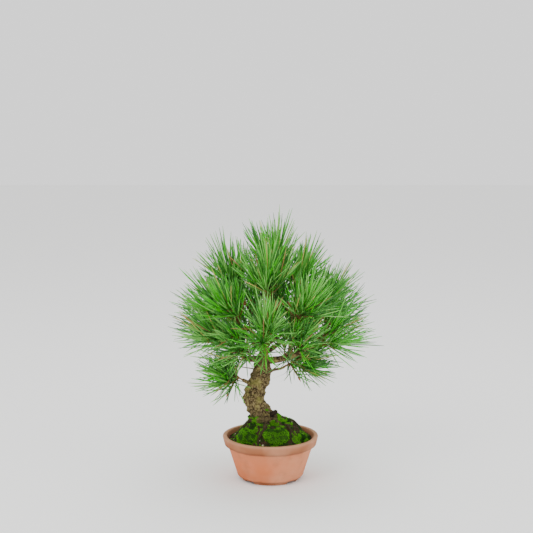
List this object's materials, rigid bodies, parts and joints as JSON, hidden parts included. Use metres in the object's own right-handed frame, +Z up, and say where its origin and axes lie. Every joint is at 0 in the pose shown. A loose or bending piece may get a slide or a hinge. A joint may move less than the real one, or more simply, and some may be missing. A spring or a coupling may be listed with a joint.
{
  "type": "potted japanese black pine",
  "caption": "Small bonsai pine with a bent tapering trunk and a rounded crown of long needles, standing in a mossy mound of soil in a round terracotta pot.",
  "frame": {"origin": "on the pot's axis, within a few millimetres of the middle of the whole plant, at the level the pot stands on", "axes": "+Z up along the pot's axis, -Y towards the viewer of the picture, +X to that viewer's right"},
  "size_m": [0.3423, 0.3322, 0.4294],
  "materials": {
    "terracotta": "unglazed fired clay, matt",
    "soil": "dark, rough, crumbly",
    "moss": "soft cushion moss, matt",
    "bark": "rough plated bark",
    "needles": "slightly waxy leaf"
  },
  "bodies": {
    "root": {"pot": "terracotta", "soil": "soil", "trunk": "bark", "root_front": "bark", "root_left": "bark", "root_right": "bark", "root_right_front": "bark", "moss_back": "moss", "moss_front_left": "moss", "moss_front_right": "moss", "moss_right": "moss", "bough_back_high": "bark", "bough_back_left": "bark", "bough_back_low": "bark", "bough_back_right": "bark", "bough_front_high": "bark", "bough_front_left": "bark", "bough_front_mid": "bark", "bough_front_right": "bark", "bough_left_high": "bark", "bough_left_inner": "bark", "bough_left_low": "bark", "bough_left_main": "bark", "bough_left_mid": "bark", "bough_right_high": "bark", "bough_right_inner": "bark", "bough_right_main": "bark", "bough_right_mid": "bark", "bough_right_twig": "bark", "bough_upper_left": "bark", "bough_upper_right": "bark", "needles_apex": "needles", "needles_back_high": "needles", "needles_back_left": "needles", "needles_back_low": "needles", "needles_back_right": "needles", "needles_front_high": "needles", "needles_front_left": "needles", "needles_front_mid": "needles", "needles_front_right": "needles", "needles_left_high": "needles", "needles_left_inner": "needles", "needles_left_low": "needles", "needles_left_main": "needles", "needles_left_mid": "needles", "needles_right_high": "needles", "needles_right_inner": "needles", "needles_right_main": "needles", "needles_right_mid": "needles", "needles_right_twig": "needles", "needles_upper_left": "needles", "needles_upper_right": "needles"}
  },
  "joints": []
}
